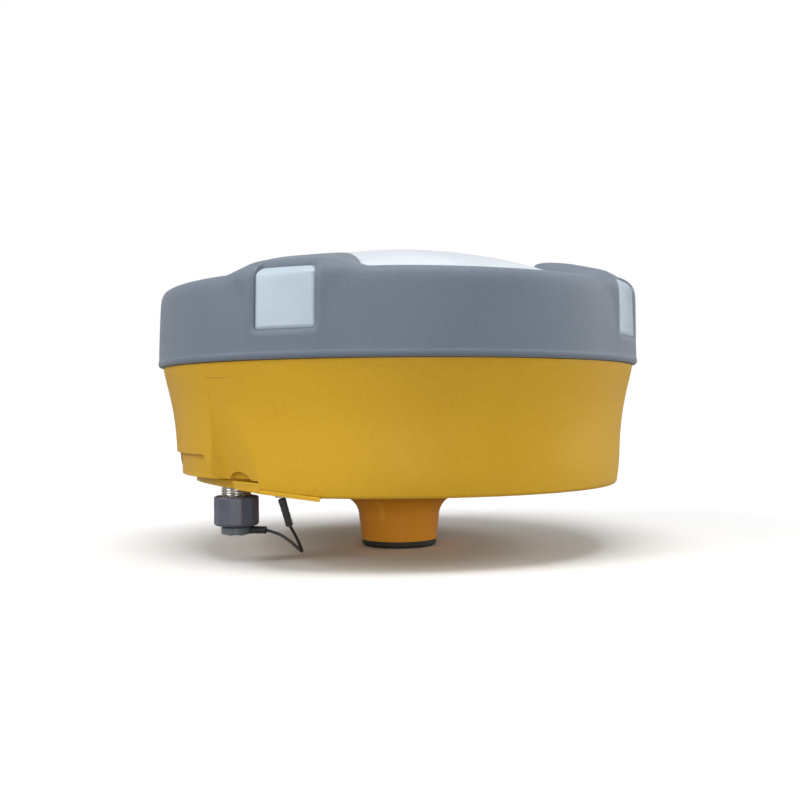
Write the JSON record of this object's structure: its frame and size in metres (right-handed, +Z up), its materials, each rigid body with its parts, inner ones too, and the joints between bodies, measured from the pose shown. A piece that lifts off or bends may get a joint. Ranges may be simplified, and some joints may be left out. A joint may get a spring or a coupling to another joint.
{
  "type": "gnss receiver",
  "caption": "Round survey receiver: white radome in a rubber bumper, yellow cup with a threaded neck, side battery door, power key and a capped antenna connector.",
  "frame": {"origin": "centre of the foot of the neck washer, which is the antenna reference point", "axes": "+Z up along the pole axis; -X towards the connector bay, +X towards the control panel, +Y towards the battery door"},
  "size_m": [0.19, 0.19, 0.1173],
  "materials": {
    "yellow_shell": "satin paint",
    "neck": "satin, a deeper tone than the cup",
    "bumper": "matte soft rubber",
    "pad": "satin",
    "radome": "satin",
    "washer": "matte",
    "insert": "machined",
    "steel": "machined",
    "nickel": "nickel plate",
    "cap": "grey anodised",
    "black": "matte",
    "cord": "plastic-coated",
    "seal": "matte",
    "chassis": "brushed",
    "board": "solder mask",
    "shield": "tinned",
    "ceramic": "fired",
    "foil": "copper foil",
    "gold": "gold flash",
    "battery": "satin",
    "grey_plastic": "fine texture",
    "swivel_grey": "satin",
    "lens": "clear",
    "ptfe": "smooth"
  },
  "bodies": {
    "root": {"antenna_board": "board", "antenna_shield": "shield", "antenna_standoffs": "gold", "battery_contacts": "gold", "battery_pack": "battery", "battery_tray": "grey_plastic", "board_screws": "steel", "board_standoffs": "gold", "bumper_pad_1": "pad", "bumper_pad_2": "pad", "bumper_pad_3": "pad", "bumper_pad_4": "pad", "bumper_ring": "bumper", "chassis": "chassis", "control_panel": "grey_plastic", "crimp_anchor": "black", "data_port_insert": "black", "data_port_pins": "gold", "data_port_shell": "nickel", "door_hinge_pin": "steel", "feed_pins": "gold", "ground_plane": "chassis", "housing_gasket": "seal", "housing_screws": "steel", "indicator_lenses": "lens", "lanyard_cord": "cord", "lanyard_screw": "steel", "lower_housing": "yellow_shell", "lower_patch": "ceramic", "main_board": "board", "main_board_chips": "black", "main_shield": "shield", "neck_washer": "washer", "panel_board": "board", "patch_foils": "foil", "pole_insert": "insert", "pole_neck": "neck", "port_plate": "yellow_shell", "port_plate_screws": "steel", "radio_module": "chassis", "radome": "radome", "tact_switch": "black", "tnc_barrel": "nickel", "tnc_center_pin": "gold", "tnc_insulator": "ptfe", "tnc_nut": "nickel", "upper_patch": "ceramic", "vent_plug": "black"},
    "button": {"power_button": "pad"},
    "door": {"battery_door": "yellow_shell", "door_gasket": "seal"},
    "latch": {"door_latch": "grey_plastic"},
    "swivel": {"cap_swivel_ring": "swivel_grey", "crimp_cap": "black"},
    "cap": {"dust_cap": "cap", "cap_seal": "seal", "cap_rivet": "steel"},
    "port_cover": {"data_port_cover": "seal"}
  },
  "joints": [
    {"name": "power_press", "type": "slide", "parent": "root", "child": "button", "axis": [-1, 0, 0], "range_m": [0, 0.0008], "stiffness_N_per_m": 1500, "springref_m": -0.0006},
    {"name": "door_hinge", "type": "hinge", "parent": "root", "child": "door", "pos_m": [0, 0.0906, 0.0298], "axis": [-1, 0, 0], "range_deg": [0, 90]},
    {"name": "latch_slide", "type": "slide", "parent": "door", "child": "latch", "axis": [1, 0, 0], "range_m": [0, 0.004]},
    {"name": "cap_advance", "type": "slide", "parent": "root", "child": "swivel", "axis": [0, 0, -1], "range_m": [-0.0019, 0.0041]},
    {"name": "cap_turn", "type": "hinge", "parent": "swivel", "child": "cap", "pos_m": [-0.07103, -0.02077, 0.015], "axis": [0, 0, -1], "range_deg": [-720, 1620]},
    {"name": "port_cover_pull", "type": "slide", "parent": "root", "child": "port_cover", "axis": [0, 0, -1], "range_m": [0, 0.01]}
  ],
  "couplings": [
    {"joint": "cap_advance", "follows": "cap_turn", "m_per_rad": 0.00014435}
  ]
}
